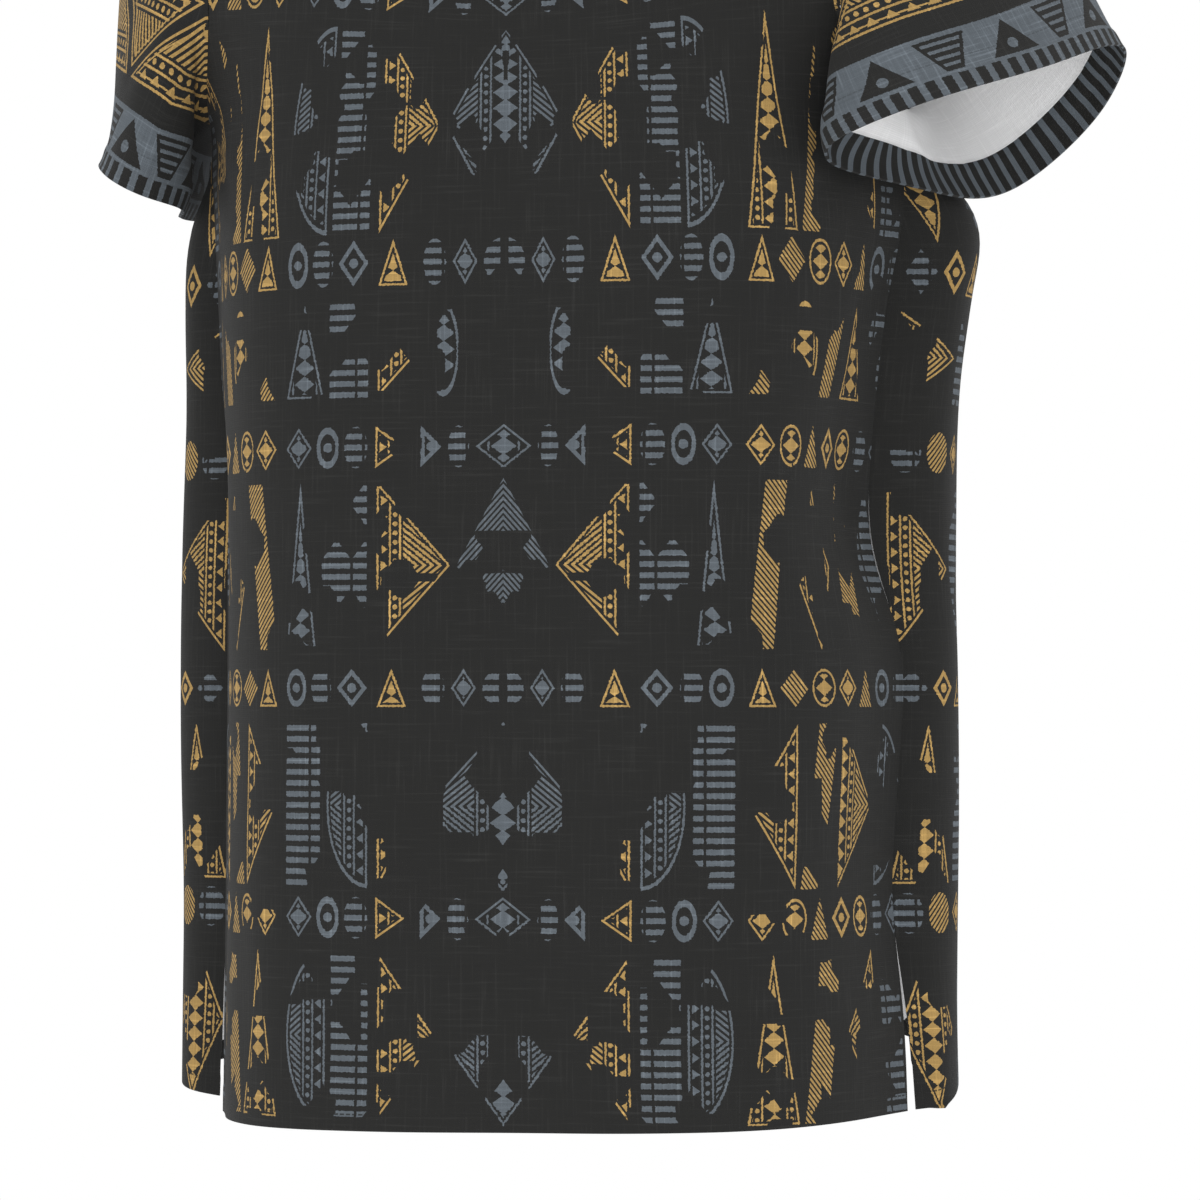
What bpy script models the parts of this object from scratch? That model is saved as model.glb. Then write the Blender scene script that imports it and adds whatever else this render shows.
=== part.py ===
# Dashiki shirt: a loose, straight, pullover tunic with short wide sleeves,
# side vents and a V neck, held in the form it has when it is filled out.
# Metres. +Z is up, -Y is the front, +X is the wearer's left.
# The origin is midway between the two neck points, where the wearer holds it.
import math

import bpy
import numpy as np

# Driving sizes
CLOTH = 0.0014            # one layer of cloth
HEM = 0.0028              # two layers, where a hem is turned up
SEAM = 0.00032            # space between two pieces at a seam
UNDERARM = -0.245         # height of the underarm point
VENT_TOP = -0.696         # top of the two side vents
VENT_OPEN = 0.0065        # width of a vent at the hem
BODY_HEM = 0.026          # height of the turned-up body hem
CUFF_HEM = 0.023          # height of the turned-up sleeve hem
NECK_HALF = 0.098         # neck point to the centre, at the cut edge
NECK_FRONT = 0.142        # how far up the chest the V begins, as a share
NECK_BACK = 0.62          # how far up the back the neck edge lies, as a share
BAND = 0.022              # finished width of the neckband
BAND_CLOTH = 0.0022       # two layers of the neckband
BAND_SEAM = 0.0006        # the neckband starts this far on from the neck edge
NECK_POINT_Z = -0.006     # height of the shoulder seam beside the neck
NECK_RISE = 0.020         # the uncut shoulder line rises this much over the neck
SHOULDER_HALF = 0.208     # top of the armhole to the centre
SHOULDER_FALL = 0.066     # fall of the shoulder seam from the neck to the armhole
SHOULDER_Y = 0.004        # the shoulder seam lies a little behind the middle
ROUND = 0.74              # how squarely the chest turns over the shoulder

CHARCOAL = {
    "front": (0.030, 0.030, 0.029, 1.0),
    "back": (0.036, 0.036, 0.035, 1.0),
    "sleeve": (0.040, 0.040, 0.039, 1.0),
    "neckband": (0.045, 0.045, 0.044, 1.0),
}

# Grid of each piece: columns across and rows from the hem up
FRONT_COLUMNS = 30
BACK_COLUMNS = 34
BODY_ROWS = 22
YOKE_ROWS = 14
SLEEVE_ROWS = 11

# Plan of the body, wearer's left half
# place, x and y below the underarm, x and y at the underarm, share of the widening
PLAN = [
    ("centre front", 0.000, -0.1225, 0.000, -0.1195, 0.0),
    ("front", 0.070, -0.1255, 0.071, -0.1195, 0.0),
    ("front corner", 0.134, -0.1105, 0.135, -0.1045, 0.1),
    ("front turn", 0.169, -0.0720, 0.175, -0.0640, 0.2),
    ("side seam", 0.191, -0.0120, 0.200, -0.010, 0.5),
    ("side fold", 0.2188, -0.0060, 0.200, 0.014, 0.9),
    ("side back", 0.2238, 0.0400, 0.192, 0.052, 1.0),
    ("back turn", 0.164, 0.0980, 0.156, 0.093, 1.0),
    ("back", 0.084, 0.1200, 0.080, 0.116, 1.0),
    ("centre back", 0.000, 0.1240, 0.000, 0.120, 0.0),
]

SEAM_PLACE = 4            # row of the plan that is the side seam
PLAN_STEPS = 14           # samples from one place of the plan to the next

# How far each place goes along when the side seam moves in or out
SEAM_FOLLOWS = {"front turn": 0.35, "side seam": 1.0, "side fold": 0.40}

# Levels of the body
# height, share of the side fold, width left, width right, depth,
# seam moved out on the left, seam moved out on the right
LEVELS = [
    (-0.245, 0.00, 1.000, 1.000, 1.00, 0.0000, 0.0000),
    (-0.268, 0.34, 1.030, 1.000, 1.00, 0.0000, 0.0025),
    (-0.290, 0.68, 1.082, 1.003, 1.00, 0.0005, 0.0040),
    (-0.345, 1.00, 1.034, 0.983, 0.99, -0.0020, 0.0060),
    (-0.390, 1.00, 1.011, 0.985, 0.99, -0.0055, 0.0035),
    (-0.440, 1.00, 1.003, 0.994, 1.00, -0.0090, -0.0015),
    (-0.476, 1.00, 1.001, 0.998, 1.01, -0.0095, -0.0015),
    (-0.500, 1.00, 1.000, 0.999, 1.01, -0.0040, -0.0015),
    (-0.526, 1.00, 1.000, 1.000, 1.02, 0.0055, -0.0015),
    (-0.546, 1.00, 1.000, 1.000, 1.02, 0.0092, -0.0015),
    (-0.600, 1.00, 0.999, 0.998, 1.02, 0.0078, -0.0010),
    (-0.645, 1.00, 0.997, 0.992, 1.02, 0.0046, 0.0000),
    (-0.680, 1.00, 0.995, 0.988, 1.01, 0.0035, 0.0005),
    (-0.740, 1.00, 0.989, 0.989, 1.00, 0.0112, 0.0015),
    (-0.810, 1.00, 0.994, 0.991, 1.00, 0.0150, 0.0025),
]

# Soft folds of the body: where round the piece (-1 and 1 are its seams),
# half width in the same measure, depth (inward is minus), centre height,
# half height
FRONT_FOLDS = [
    ("left waist", 0.80, 0.22, -0.0055, -0.470, 0.085),
    ("left hip", 0.62, 0.24, 0.0040, -0.600, 0.120),
    ("centre drape", -0.12, 0.26, 0.0030, -0.700, 0.160),
    ("right drape", -0.62, 0.24, -0.0030, -0.560, 0.180),
    ("left chest", 0.55, 0.22, 0.0030, -0.330, 0.090),
]
BACK_FOLDS = [
    ("left back drape", 0.45, 0.20, -0.0050, -0.580, 0.200),
    ("right back drape", -0.42, 0.22, -0.0040, -0.540, 0.210),
    ("centre back drape", 0.02, 0.20, 0.0035, -0.620, 0.190),
]

# Hem of each body piece: place across, height
FRONT_HEM = [(-1.0, -0.8035), (-0.5, -0.803), (0.0, -0.802), (0.6, -0.799), (1.0, -0.796)]
BACK_HEM = [(-1.0, -0.7955), (-0.9, -0.791), (-0.75, -0.781), (0.0, -0.775),
            (0.78, -0.773), (0.9, -0.791), (1.0, -0.7955)]

# Armholes and cuffs, once round from the underarm by the front
# place, armhole x, y, z, cuff x, y, z, reach of the cloth out of the armhole
LEFT_SLEEVE = [
    ("under", 0.200, -0.010, -0.245, 0.216, -0.037, -0.288, 0.045),
    ("under front", 0.186, -0.058, -0.226, 0.170, -0.101, -0.277, 0.055),
    ("front", 0.172, -0.084, -0.178, 0.220, -0.132, -0.258, 0.055),
    ("top front", 0.188, -0.060, -0.106, 0.286, -0.096, -0.234, 0.135),
    ("top", 0.208, 0.004, -0.072, 0.321, -0.012, -0.211, 0.200),
    ("top back", 0.200, 0.062, -0.104, 0.305, 0.040, -0.238, 0.150),
    ("back", 0.188, 0.082, -0.172, 0.270, 0.048, -0.271, 0.085),
    ("under back", 0.194, 0.050, -0.226, 0.245, 0.015, -0.288, 0.075),
]
RIGHT_SLEEVE = [
    ("under", -0.200, -0.010, -0.245, -0.224, 0.000, -0.291, 0.055),
    ("under front", -0.190, -0.052, -0.226, -0.207, -0.050, -0.291, 0.045),
    ("front", -0.182, -0.076, -0.176, -0.226, -0.086, -0.285, 0.060),
    ("top front", -0.192, -0.056, -0.106, -0.248, -0.062, -0.270, 0.170),
    ("top", -0.208, 0.004, -0.072, -0.262, 0.010, -0.257, 0.265),
    ("top back", -0.200, 0.062, -0.104, -0.258, 0.082, -0.257, 0.180),
    ("back", -0.188, 0.082, -0.172, -0.238, 0.116, -0.270, 0.090),
    ("under back", -0.194, 0.050, -0.226, -0.230, 0.068, -0.285, 0.080),
]
SLEEVE_DROP = 0.30        # how much the cloth falls as it leaves the armhole
CUFF_RUN = 0.060          # length over which the cloth settles at the cuff
ARMHOLE_SEAM = 0.00057    # space between the outer points of a sleeve and of its armhole
UNDERARM_OUT = 0.0011     # extra space under the arm, outwards
UNDERARM_UP = 0.0009      # extra space under the arm, upwards
HEM_STEP = 0.002          # run over which a turned-up hem thins to one layer


def table(rows, at):
    """Read a table of rows led by a height or a place, on a smooth curve in between."""
    keys = np.array([row[0] for row in rows], float)
    values = np.array([row[1:] for row in rows], float)
    order = np.argsort(keys)
    keys = keys[order]
    values = values[order]
    slopes = np.gradient(values, keys, axis=0)
    at = float(np.clip(at, keys[0], keys[-1]))
    i = int(np.clip(np.searchsorted(keys, at) - 1, 0, len(keys) - 2))
    width = keys[i + 1] - keys[i]
    t = (at - keys[i]) / width
    low = (2.0 * t ** 3 - 3.0 * t ** 2 + 1.0) * values[i] + (3.0 * t ** 2 - 2.0 * t ** 3) * values[i + 1]
    lean = (t ** 3 - 2.0 * t ** 2 + t) * slopes[i] + (t ** 3 - t ** 2) * slopes[i + 1]
    return low + width * lean


def smooth_loop(points, steps):
    """Closed smooth curve through points, with steps samples from each to the next."""
    p = np.asarray(points, float)
    count = len(p)
    t = np.linspace(0.0, 1.0, steps, endpoint=False)[:, None]
    out = []
    for i in range(count):
        a, b, c, d = p[i - 1], p[i], p[(i + 1) % count], p[(i + 2) % count]
        bend = (2.0 * b) + (c - a) * t
        bend = bend + (2.0 * a - 5.0 * b + 4.0 * c - d) * t ** 2
        bend = bend + (3.0 * b - a - 3.0 * c + d) * t ** 3
        out.append(0.5 * bend)
    return np.vstack(out)


def spread(line, shares):
    """Points at shares of the length of a line."""
    run = np.r_[0.0, np.cumsum(np.linalg.norm(np.diff(line, axis=0), axis=1))]
    at = np.asarray(shares) * run[-1]
    return np.column_stack([np.interp(at, run, line[:, k]) for k in range(line.shape[1])])


def body_ring(z):
    """Both halves of the body's plan at a height, from right seam to left seam."""
    fold, left, right, deep, seam_left, seam_right = table(LEVELS, z)
    half = []
    for name, x, y, x_top, y_top, share in PLAN:
        px = x_top + (x - x_top) * fold
        py = (y_top + (y - y_top) * fold) * deep
        half.append((name, px, py, share))
    points = []
    for name, px, py, share in half:
        move = seam_left * SEAM_FOLLOWS.get(name, 0.0)
        points.append((px * (1.0 + (left - 1.0) * share) + move, py))
    for name, px, py, share in half[-2:0:-1]:
        move = seam_right * SEAM_FOLLOWS.get(name, 0.0)
        points.append((-px * (1.0 + (right - 1.0) * share) - move, py))
    loop = smooth_loop(points, PLAN_STEPS)
    left_seam = SEAM_PLACE * PLAN_STEPS
    right_seam = (len(points) - SEAM_PLACE) * PLAN_STEPS
    front = np.vstack([loop[right_seam:], loop[:left_seam + 1]])
    back = loop[left_seam:right_seam + 1][::-1]
    return front, back


def bell(distance):
    """One at the middle, nought at one, level at both."""
    d = min(abs(distance), 1.0)
    return 0.5 * (1.0 + math.cos(math.pi * d))


def swell(folds, place, z):
    """Sum of the soft folds at a place across and a height."""
    total = 0.0
    for name, where, half, depth, middle, tall in folds:
        total += depth * bell((place - where) / half) * bell((z - middle) / tall)
    return total


def shoulder_height(x):
    """Height of the shoulder seam, and of the line that carries it on over the neck."""
    t = abs(x) / NECK_HALF
    if t < 1.0:
        return NECK_POINT_Z + NECK_RISE * (1.0 - t * t)
    return NECK_POINT_Z - SHOULDER_FALL * (abs(x) - NECK_HALF) / (SHOULDER_HALF - NECK_HALF)


def armhole_line(rows, front):
    """Edge of the front or the back at one armhole, from underarm to shoulder."""
    loop = smooth_loop([row[1:4] for row in rows], 16)
    half = len(loop) // 2
    if front:
        return loop[:half + 1]
    return np.vstack([loop[half:], loop[:1]])[::-1]


def column_shares(count, neck):
    """Places across a piece from -1 to 1, with one at each neck point and the middle."""
    inner = int(round(count / 2 * neck))
    outer = count // 2 - inner
    bend = np.sin(np.linspace(0.0, math.pi / 2.0, inner + 1))
    even = np.linspace(0.0, 1.0, inner + 1)
    half = np.r_[neck * (0.8 * bend + 0.2 * even), np.linspace(neck, 1.0, outer + 1)[1:]]
    return np.r_[-half[:0:-1], half]


def chest_point(start_row, places, at, v):
    """A point of the uncut chest above the underarm, v from nought to one at the top."""
    x0 = np.interp(at, places, start_row[:, 0])
    y0 = np.interp(at, places, start_row[:, 1])
    x1 = SHOULDER_HALF * at
    z1 = shoulder_height(x1)
    turn = v * math.pi / 2.0
    rise = math.sin(turn) ** ROUND
    fall = max(math.cos(turn), 0.0) ** ROUND
    x = x0 + (x1 - x0) * v
    y = SHOULDER_Y + (y0 - SHOULDER_Y) * fall
    z = UNDERARM + (z1 - UNDERARM) * rise
    return np.array([x, y, z])


def armhole_at(line, v):
    """Point of an armhole edge at the height that v stands for."""
    height = UNDERARM + (line[-1, 2] - UNDERARM) * math.sin(v * math.pi / 2.0) ** ROUND
    return np.array([np.interp(height, line[:, 2], line[:, k]) for k in range(3)])


def yoke_point(start_row, places, place, armholes, v):
    """A point above the underarm, with the cloth cut away at the armhole."""
    left = place > 0.0
    edge = armhole_at(armholes[1 if left else 0], v)
    sign = 1.0 if left else -1.0
    shares = np.linspace(0.55, 1.0, 46)
    line = np.array([chest_point(start_row, places, sign * q, v) for q in shares])
    gaps = np.hypot(line[:, 0] - edge[0], line[:, 1] - edge[1])
    cut = shares[int(np.argmin(gaps))]
    point = chest_point(start_row, places, place * cut, v)
    end = chest_point(start_row, places, sign * cut, v)
    return point + (edge - end) * abs(place) ** 5


def neck_share(place, neck, front):
    """How far up a column the neck edge is reached."""
    t = min(abs(place) / neck, 1.0)
    if front:
        return NECK_FRONT + (1.0 - NECK_FRONT) * (0.42 * t + 0.58 * t ** 2.8)
    return NECK_BACK + (1.0 - NECK_BACK) * t ** 2.6


def body_grid(front):
    """Rows of points of the front or the back, from the hem to the top edge."""
    count = FRONT_COLUMNS if front else BACK_COLUMNS
    folds = FRONT_FOLDS if front else BACK_FOLDS
    hem = FRONT_HEM if front else BACK_HEM
    side = -1.0 if front else 1.0
    neck = NECK_HALF / SHOULDER_HALF
    places = column_shares(count, neck)
    armholes = (armhole_line(RIGHT_SLEEVE, front), armhole_line(LEFT_SLEEVE, front))
    heights = [0.0, 0.5 * BODY_HEM, BODY_HEM, BODY_HEM + HEM_STEP]
    rest = np.linspace(0.0, 1.0, BODY_ROWS + 1)[1:]
    rows = []
    levels = []
    for h in heights:
        levels.append(("low", h))
    for share in rest:
        levels.append(("high", share))
    for kind, value in levels:
        row = []
        for place in places:
            bottom = table(hem, place)[0]
            if kind == "low":
                z = bottom + value
            else:
                base = bottom + heights[-1]
                z = base + (UNDERARM - base) * value
            ring = body_ring(z)[0 if front else 1]
            length = np.linalg.norm(np.diff(ring, axis=0), axis=1).sum()
            opening = max(0.0, (VENT_TOP - z) / (VENT_TOP - LEVELS[-1][0]))
            trim = 0.5 * (SEAM + VENT_OPEN * opening) / length
            share = trim + (1.0 - 2.0 * trim) * (place + 1.0) / 2.0
            p = spread(ring, [share])[0]
            ahead = spread(ring, [min(share + 0.01, 1.0), max(share - 0.01, 0.0)])
            way = ahead[0] - ahead[1]
            out = np.array([way[1], -way[0]]) * (-side)
            out = out / np.linalg.norm(out)
            p = p + out * swell(folds, place, z)
            row.append((p[0], p[1], z))
        rows.append(row)
    start_row = np.array(rows[-1])
    tops = []
    for place in places:
        tops.append(neck_share(place, neck, front))
    for k in range(1, YOKE_ROWS + 1):
        share = 0.5 * (1.0 - math.cos(math.pi * k / YOKE_ROWS))
        row = []
        for place, top in zip(places, tops):
            row.append(yoke_point(start_row, places, place, armholes, top * share))
        rows.append(row)
    grid = np.array(rows, float)
    slope = np.abs(grid[-1, :, 2] - grid[-2, :, 2])
    slope = slope / (np.abs(grid[-1, :, 1] - grid[-2, :, 1]) + 1e-6)
    seam = np.array([1.0 if abs(p) >= neck - 1e-9 else 0.0 for p in places])
    grid[-1, :, 1] += side * seam * (0.5 * SEAM + CLOTH * np.clip(slope, 0.0, 0.6))
    return grid, places, neck


def add_object(name, verts, faces, color, collection):
    mesh = bpy.data.meshes.new(name)
    mesh.from_pydata([tuple(v) for v in verts], [], faces)
    mesh.update()
    obj = bpy.data.objects.new(name, mesh)
    collection.objects.link(obj)
    material = bpy.data.materials.new(name + " cloth")
    material.use_nodes = True
    shader = material.node_tree.nodes["Principled BSDF"]
    shader.inputs["Base Color"].default_value = color
    shader.inputs["Roughness"].default_value = 0.85
    mesh.materials.append(material)
    return obj


def grid_faces(rows, columns, wrap):
    """Quads of a grid, closed round on itself or not."""
    faces = []
    last = columns if wrap else columns - 1
    for r in range(rows - 1):
        for c in range(last):
            d = (c + 1) % columns
            faces.append((r * columns + c, r * columns + d,
                          (r + 1) * columns + d, (r + 1) * columns + c))
    return faces


def thicken(obj, double, flip):
    """Give the sheet its cloth thickness on the inner side, double at its hem."""
    if flip:
        obj.data.flip_normals()
    group = obj.vertex_groups.new(name="turned hem")
    group.add(double, 1.0, "REPLACE")
    shell = obj.modifiers.new("cloth", "SOLIDIFY")
    shell.thickness = HEM if double else CLOTH
    shell.offset = -1.0
    shell.use_even_offset = True
    if double:
        shell.vertex_group = group.name
        shell.thickness_vertex_group = CLOTH / HEM


def build_body(front, collection):
    grid, places, neck = body_grid(front)
    rows, columns = grid.shape[:2]
    name = "front" if front else "back"
    obj = add_object(name, grid.reshape(-1, 3), grid_faces(rows, columns, False),
                     CHARCOAL[name], collection)
    double = [r * columns + c for r in range(3) for c in range(columns)]
    thicken(obj, double, not front)
    return grid, places, neck


def armhole_edge(grid, column, inner):
    """Armhole edge of a body grid, with the way on from it in the cloth's plane."""
    points = grid[-YOKE_ROWS - 1:, column]
    beside = grid[-YOKE_ROWS - 1:, inner]
    out = []
    for k in range(len(points)):
        along = points[min(k + 1, YOKE_ROWS)] - points[max(k - 1, 0)]
        along = along / np.linalg.norm(along)
        away = points[k] - beside[k]
        away = away - along * np.dot(away, along)
        size = np.linalg.norm(away)
        if k == 0 or size < 1e-5:
            away = np.array([0.0, 0.0, 1.0])
        else:
            away = away / size
        out.append(away)
    return points, np.array(out)


def sleeve_grid(rows, front, back, left):
    """Rings of the sleeve from the armhole to the cuff."""
    column = -1 if left else 0
    inner = -2 if left else 1
    side = 1.0 if left else -1.0
    front_edge, front_away = armhole_edge(front, column, inner)
    back_edge, back_away = armhole_edge(back, column, inner)
    hole = np.vstack([front_edge, back_edge[-2:0:-1]])
    away = np.vstack([front_away, back_away[-2:0:-1]])
    for k, (one, two) in ((0, (front_edge[0], back_edge[0])),
                          (YOKE_ROWS, (front_edge[-1], back_edge[-1]))):
        hole[k] = 0.5 * (one + two)
    height = (hole[:, 2] - hole[0, 2]) / (hole[YOKE_ROWS, 2] - hole[0, 2])
    low = np.clip(1.0 - height / 0.25, 0.0, 1.0)
    hole = hole + away * ARMHOLE_SEAM
    hole = hole + low[:, None] * np.array([side * UNDERARM_OUT, 0.0, UNDERARM_UP])
    cuff_loop = smooth_loop([row[4:7] for row in rows], 16)
    reach_loop = smooth_loop([(row[7],) for row in rows], 16)
    half = len(cuff_loop) // 2
    shares = np.linspace(0.0, 1.0, YOKE_ROWS + 1)
    parts = []
    for line in (cuff_loop[:half + 1], np.vstack([cuff_loop[half:], cuff_loop[:1]])[::-1]):
        parts.append(spread(line, shares))
    cuff = np.vstack([parts[0], parts[1][-2:0:-1]])
    parts = []
    for line in (reach_loop[:half + 1], np.vstack([reach_loop[half:], reach_loop[:1]])[::-1]):
        parts.append(np.interp(shares, np.linspace(0.0, 1.0, half + 1), line[:, 0]))
    reach = np.r_[parts[0], parts[1][-2:0:-1]]
    start = np.column_stack([np.full(len(hole), side), np.zeros(len(hole)),
                             SLEEVE_DROP * (0.15 * low - height)])
    start = start / np.linalg.norm(start, axis=1)[:, None]
    axis = cuff.mean(axis=0) - hole.mean(axis=0)
    ring_way = np.cross(cuff[YOKE_ROWS // 2] - cuff[0], cuff[YOKE_ROWS] - cuff[0])
    ring_way = ring_way / np.linalg.norm(ring_way)
    if np.dot(ring_way, axis) < 0.0:
        ring_way = -ring_way
    length = np.linalg.norm(cuff - hole, axis=1)
    hem = CUFF_HEM / length
    out = []
    for r in range(SLEEVE_ROWS + 1):
        ring = []
        for c in range(len(hole)):
            stop = 1.0 - hem[c]
            if r <= SLEEVE_ROWS - 3:
                s = (stop - HEM_STEP / length[c]) * r / (SLEEVE_ROWS - 3)
            else:
                s = (stop, 1.0 - 0.5 * hem[c], 1.0)[r - SLEEVE_ROWS + 2]
            p = hole[c] * (2.0 * s ** 3 - 3.0 * s ** 2 + 1.0)
            p = p + start[c] * reach[c] * (s ** 3 - 2.0 * s ** 2 + s)
            p = p + cuff[c] * (3.0 * s ** 2 - 2.0 * s ** 3)
            p = p + ring_way * min(CUFF_RUN, length[c]) * (s ** 3 - s ** 2)
            ring.append(p)
        out.append(ring)
    return np.array(out)


def build_sleeve(name, rows, front, back, left, collection):
    grid = sleeve_grid(rows, front, back, left)
    count, columns = grid.shape[:2]
    obj = add_object(name, grid.reshape(-1, 3), grid_faces(count, columns, True),
                     CHARCOAL["sleeve"], collection)
    double = [r * columns + c for r in range(count - 3, count) for c in range(columns)]
    thicken(obj, double, not left)


def build_neckband(front, back, places_front, places_back, neck, collection):
    """A band of two layers that goes on from the neck edge of the front and back."""
    pick_front = [i for i, p in enumerate(places_front) if abs(p) <= neck + 1e-9]
    pick_back = [i for i, p in enumerate(places_back) if abs(p) <= neck + 1e-9]
    edge = [front[-1, i] for i in pick_front] + [back[-1, i] for i in pick_back[::-1]][1:-1]
    corners = (0, len(pick_front) - 1)
    for k, i, j in ((corners[0], pick_front[0], pick_back[0]),
                    (corners[1], pick_front[-1], pick_back[-1])):
        edge[k] = 0.5 * (front[-1, i] + back[-1, j])
    edge = np.array(edge)
    ahead = np.roll(edge, -1, axis=0) - edge
    ahead = ahead / np.linalg.norm(ahead, axis=1)[:, None]
    along = ahead + np.roll(ahead, 1, axis=0)
    along = along / np.linalg.norm(along, axis=1)[:, None]
    faces_out = []
    for grid, picks in ((front, pick_front), (back, pick_back[::-1][1:-1])):
        for i in picks:
            across = grid[-2, i + 1] - grid[-2, i - 1]
            faces_out.append(np.cross(across, grid[-1, i] - grid[-3, i]))
    normal = np.array(faces_out)
    normal[len(pick_front):] *= -1.0
    for k in corners:
        sign = -1.0 if edge[k][0] < 0.0 else 1.0
        normal[k] = (sign * 0.5, 0.0, 0.86)
    normal = normal / np.linalg.norm(normal, axis=1)[:, None]
    on = np.cross(normal, along)
    on = on / np.linalg.norm(on, axis=1)[:, None]
    heart = np.array([0.0, -0.02, 0.0])
    if np.einsum("ij,ij->i", on, heart - edge).sum() < 0.0:
        on = -on
    square = np.cross(normal, ahead)
    square = square / np.linalg.norm(square, axis=1)[:, None]
    mitre = 1.0 / np.clip(np.abs(np.einsum("ij,ij->i", square, on)), 0.45, 1.0)
    rows = []
    for k in (0.0, 0.5, 1.0):
        step = BAND_SEAM + (BAND - BAND_SEAM) * k
        rows.append(edge + on * (step * mitre)[:, None])
    grid = np.array(rows)
    obj = add_object("neckband", grid.reshape(-1, 3), grid_faces(3, len(edge), True),
                     CHARCOAL["neckband"], collection)
    shell = obj.modifiers.new("cloth", "SOLIDIFY")
    shell.thickness = BAND_CLOTH
    shell.offset = -1.0
    shell.use_even_offset = True


for old in list(bpy.data.objects):
    bpy.data.objects.remove(old, do_unlink=True)
shirt = bpy.data.collections.new("dashiki shirt")
bpy.context.scene.collection.children.link(shirt)

front_grid, front_places, neck_place = build_body(True, shirt)
back_grid, back_places, _ = build_body(False, shirt)
build_sleeve("left_sleeve", LEFT_SLEEVE, front_grid, back_grid, True, shirt)
build_sleeve("right_sleeve", RIGHT_SLEEVE, front_grid, back_grid, False, shirt)
build_neckband(front_grid, back_grid, front_places, back_places, neck_place, shirt)
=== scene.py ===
# Dashiki shirt: the looks of a loose printed tunic, filled out as if it was worn.
# Metres. +Z is up, -Y is the front of the shirt, +X is the wearer's left.
import math

import bpy
import numpy as np
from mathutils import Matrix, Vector
from mathutils.kdtree import KDTree


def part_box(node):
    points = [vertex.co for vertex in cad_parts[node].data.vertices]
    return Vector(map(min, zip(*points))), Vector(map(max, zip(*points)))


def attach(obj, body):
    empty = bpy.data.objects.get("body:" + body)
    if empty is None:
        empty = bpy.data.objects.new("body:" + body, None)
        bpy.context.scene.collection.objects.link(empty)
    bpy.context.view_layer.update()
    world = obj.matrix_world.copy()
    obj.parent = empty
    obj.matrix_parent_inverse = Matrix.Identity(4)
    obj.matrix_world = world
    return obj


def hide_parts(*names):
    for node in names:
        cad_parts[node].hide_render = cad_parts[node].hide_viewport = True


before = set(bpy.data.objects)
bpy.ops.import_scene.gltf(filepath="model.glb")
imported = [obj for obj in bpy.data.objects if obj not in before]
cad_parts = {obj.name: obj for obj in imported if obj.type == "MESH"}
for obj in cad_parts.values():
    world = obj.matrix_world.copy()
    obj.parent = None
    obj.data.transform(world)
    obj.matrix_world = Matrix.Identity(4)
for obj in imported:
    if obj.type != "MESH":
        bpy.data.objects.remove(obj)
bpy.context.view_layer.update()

# Cloth
CLOTH = 0.0008            # one layer of cloth
HEM_CLOTH = 0.0016        # two layers, where a hem is turned up
BAND_CLOTH = 0.0016       # the neckband, two layers
EDGE_ROLL = 0.0030        # width of the strip along an edge that rolls in
SEAM_DEPTH = 0.0003       # how far the cloth dips into a seam
BODY_HEM = 0.011          # height of the turned-up hem, seen from inside
CUFF_HEM = 0.023
HEM_SLACK = 0.0005        # the doubled wall ends this far above the hem
UNDERARM = -0.245
CORNER_COSINE = -0.55     # an open edge that turns more than this has a corner
SEAM_EASE = 0.0005        # how far the edges are drawn together at a seam
SLEEVE_EASE = 0.0013      # the same at the armholes, where the curves differ more
OVERLOCK = 0.0050         # width of the dark stitching along the seams inside
SLEEVE_OVERLOCK = 0.0018
LEFT_ROUND = 0.5492       # the whole way round each cuff
RIGHT_ROUND = 0.45

# Reading the solids' meshes
MERGE = 1e-5              # points nearer than this are one
FACING = 0.7              # least cosine between a face and the way that it should face
POINT_STEP = 0.0005       # spacing of the points along an edge
HEM_REACH = 0.034         # the hem's edge lies within this of the lowest point
HEM_SLOPE = 0.8           # a vent's edge is steeper than this, and the hem's is not
SMOOTH_BEND = 50.0        # degrees, the sharpest bend that is shaded smooth

# Camera, fitted to the photograph
VIEW_TURN = math.radians(12.4)    # the camera stands towards the wearer's left
VIEW_DISTANCE = 2.6
EYE_HEIGHT = -0.563
FRAME_SHIFT = 0.0254              # the view's middle, to the right of the shirt's middle
VIEW_TILT = math.radians(1.1)
LENS = 138.06

# Room
FLOOR = -1.48             # the floor that a wearer would stand on
FLOOR_RADIUS = 4.0
FLOOR_SHADE = (0.86, 0.86, 0.86)
LIGHT_PLACE = Vector((0.25, -2.4, -1.15))
LIGHT_AIM = Vector((0.10, 0.0, -0.30))
LIGHT_SIZE = 1.6
LIGHT_POWER = 18.0


def pick(*objects):
    """Select these objects alone, the last one active."""
    bpy.ops.object.select_all(action="DESELECT")
    for thing in objects:
        thing.select_set(True)
    bpy.context.view_layer.objects.active = objects[-1]


def edit(piece, mode="FACE"):
    pick(piece)
    bpy.ops.object.mode_set(mode="EDIT")
    bpy.ops.mesh.select_mode(type=mode)


def leave_edit():
    bpy.ops.object.mode_set(mode="OBJECT")


def take_in_slivers(piece):
    """Choose as well each face that lies wholly between chosen ones."""
    chosen = set()
    for face in piece.data.polygons:
        if face.select:
            chosen.update(face.edge_keys)
    for face in piece.data.polygons:
        if all(key in chosen for key in face.edge_keys):
            face.select = True


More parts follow.
